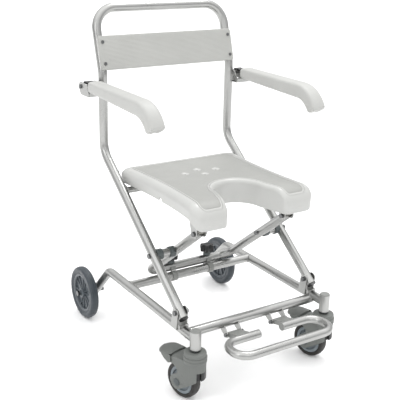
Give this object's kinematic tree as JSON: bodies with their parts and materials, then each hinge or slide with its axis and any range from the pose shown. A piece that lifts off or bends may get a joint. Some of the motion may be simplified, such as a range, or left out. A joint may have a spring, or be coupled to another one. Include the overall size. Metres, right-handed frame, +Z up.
{
  "type": "commode chair",
  "caption": "Folding wheeled shower and commode chair with an open-front plastic seat, low back panel, lift-up armrests, flip-up footrest, swivel front casters and larger rear wheels.",
  "frame": {"origin": "on the floor, under the middle of the whole chair's box", "axes": "+Z up, the chair's height, its longest extent; front towards -Y; X across the chair, its shortest extent, left at -X as seen from in front"},
  "size_m": [0.55, 0.78, 0.9487],
  "materials": {
    "aluminium_tube": "satin anodised",
    "steel_bolt": "zinc plated",
    "seat_plastic": "off-white moulded, satin",
    "arm_plastic": "off-white moulded, satin",
    "panel_plastic": "light warm grey, ribbed",
    "grey_plastic": "mid grey moulded",
    "light_plastic": "light grey moulded",
    "black_plastic": "black moulded",
    "nylon": "natural nylon",
    "rear_tyre_rubber": "dark slate rubber",
    "rear_rim_plastic": "mid grey moulded",
    "caster_tyre_rubber": "near-black rubber",
    "caster_rim_plastic": "light grey moulded",
    "rest_rubber": "grey rubber"
  },
  "bodies": {
    "base": {"left_base_tube": "aluminium_tube", "right_base_tube": "aluminium_tube", "front_posts": "aluminium_tube", "rear_cross_tube": "aluminium_tube", "front_cross_tube": "aluminium_tube", "clevises": "aluminium_tube", "base_bolts": "steel_bolt", "footrest_lugs": "aluminium_tube", "rear_axles": "steel_bolt", "clamp_clips": "light_plastic", "caster_stems": "steel_bolt", "base_plugs": "light_plastic"},
    "leg_frame": {"left_leg": "aluminium_tube", "right_leg": "aluminium_tube", "leg_plugs": "black_plastic", "leg_bushes": "nylon", "outer_hubs": "grey_plastic", "hub_spacers": "aluminium_tube", "cross_bolts": "steel_bolt", "seat_rest_bar": "aluminium_tube", "back_tube": "aluminium_tube", "back_inserts": "aluminium_tube", "back_panel": "panel_plastic", "panel_screws": "steel_bolt", "arm_brackets": "aluminium_tube", "arm_bolts": "steel_bolt"},
    "left_lock": {"left_button": "grey_plastic"},
    "right_lock": {"right_button": "grey_plastic"},
    "seat_support": {"seat_support_tube": "aluminium_tube", "inner_hubs": "grey_plastic", "support_bushes": "nylon"},
    "seat_tray": {"seat": "seat_plastic", "seat_brackets": "aluminium_tube", "seat_bolts": "steel_bolt", "seat_rest_pads": "rest_rubber"},
    "left_armrest": {"left_arm_bar": "aluminium_tube", "left_arm_pad": "arm_plastic", "left_arm_cap": "black_plastic"},
    "right_armrest": {"right_arm_bar": "aluminium_tube", "right_arm_pad": "arm_plastic", "right_arm_cap": "black_plastic"},
    "footrest": {"footrest_tube": "aluminium_tube", "footrest_blocks": "light_plastic", "footrest_caps": "light_plastic"},
    "left_rear_wheel": {"left_rear_tyre": "rear_tyre_rubber", "left_rear_rim": "rear_rim_plastic"},
    "right_rear_wheel": {"right_rear_tyre": "rear_tyre_rubber", "right_rear_rim": "rear_rim_plastic"},
    "left_caster": {"left_fork": "grey_plastic", "left_caster_pins": "steel_bolt"},
    "right_caster": {"right_fork": "grey_plastic", "right_caster_pins": "steel_bolt"},
    "left_caster_wheel": {"left_caster_tyre": "caster_tyre_rubber", "left_caster_rim": "caster_rim_plastic"},
    "right_caster_wheel": {"right_caster_tyre": "caster_tyre_rubber", "right_caster_rim": "caster_rim_plastic"},
    "left_brake": {"left_pedal": "grey_plastic"},
    "right_brake": {"right_pedal": "grey_plastic"},
    "left_clamp": {"left_knob": "black_plastic"},
    "right_clamp": {"right_knob": "black_plastic"}
  },
  "joints": [
    {"name": "fold", "type": "hinge", "parent": "base", "child": "leg_frame", "pos_m": [0, -0.19, 0.221], "axis": [-1, 0, 0], "range_deg": [0, 35]},
    {"name": "scissor", "type": "hinge", "parent": "leg_frame", "child": "seat_support", "pos_m": [0, -0.05, 0.326], "axis": [1, 0, 0], "range_deg": [0, 70]},
    {"name": "seat_level", "type": "hinge", "parent": "seat_support", "child": "seat_tray", "pos_m": [0, -0.16238, 0.41443], "axis": [-1, 0, 0], "range_deg": [0, 35]},
    {"name": "left_lock_press", "type": "slide", "parent": "leg_frame", "child": "left_lock", "axis": [-1, 0, 0], "range_m": [0, 0.003], "stiffness_N_per_m": 600, "springref_m": -0.004},
    {"name": "right_lock_press", "type": "slide", "parent": "leg_frame", "child": "right_lock", "axis": [1, 0, 0], "range_m": [0, 0.003], "stiffness_N_per_m": 600, "springref_m": -0.004},
    {"name": "left_arm_lift", "type": "hinge", "parent": "leg_frame", "child": "left_armrest", "pos_m": [-0.2515, 0.26, 0.729], "axis": [-1, 0, 0], "range_deg": [0, 90]},
    {"name": "right_arm_lift", "type": "hinge", "parent": "leg_frame", "child": "right_armrest", "pos_m": [0.2515, 0.26, 0.729], "axis": [-1, 0, 0], "range_deg": [0, 90]},
    {"name": "footrest_flip", "type": "hinge", "parent": "base", "child": "footrest", "pos_m": [0, -0.2365, 0.145], "axis": [-1, 0, 0], "range_deg": [0, 80]},
    {"name": "left_rear_roll", "type": "hinge", "parent": "base", "child": "left_rear_wheel", "pos_m": [-0.25, 0.31, 0.08], "axis": [1, 0, 0], "continuous": true},
    {"name": "right_rear_roll", "type": "hinge", "parent": "base", "child": "right_rear_wheel", "pos_m": [0.25, 0.31, 0.08], "axis": [1, 0, 0], "continuous": true},
    {"name": "left_caster_swivel", "type": "hinge", "parent": "base", "child": "left_caster", "pos_m": [-0.211, -0.265, 0.13], "axis": [0, 0, 1], "continuous": true},
    {"name": "right_caster_swivel", "type": "hinge", "parent": "base", "child": "right_caster", "pos_m": [0.211, -0.265, 0.13], "axis": [0, 0, 1], "continuous": true},
    {"name": "left_caster_roll", "type": "hinge", "parent": "left_caster", "child": "left_caster_wheel", "pos_m": [-0.22019, -0.22813, 0.05], "axis": [0.9703, 0.2419, 0], "continuous": true},
    {"name": "right_caster_roll", "type": "hinge", "parent": "right_caster", "child": "right_caster_wheel", "pos_m": [0.20181, -0.22813, 0.05], "axis": [0.9703, 0.2419, 0], "continuous": true},
    {"name": "left_brake_press", "type": "hinge", "parent": "left_caster", "child": "left_brake", "pos_m": [-0.2289, -0.1932, 0.104], "axis": [-0.9703, -0.2419, 0], "range_deg": [0, 12]},
    {"name": "right_brake_press", "type": "hinge", "parent": "right_caster", "child": "right_brake", "pos_m": [0.1931, -0.1932, 0.104], "axis": [-0.9703, -0.2419, 0], "range_deg": [0, 12]},
    {"name": "left_clamp_turn", "type": "hinge", "parent": "seat_support", "child": "left_clamp", "pos_m": [-0.063, 0.10764, 0.20195], "axis": [0, 0, 1], "continuous": true},
    {"name": "right_clamp_turn", "type": "hinge", "parent": "seat_support", "child": "right_clamp", "pos_m": [0.063, 0.10764, 0.20195], "axis": [0, 0, 1], "continuous": true}
  ],
  "couplings": [
    {"joint": "scissor", "follows": "fold", "ratio": 2},
    {"joint": "seat_level", "follows": "fold", "ratio": 1}
  ]
}
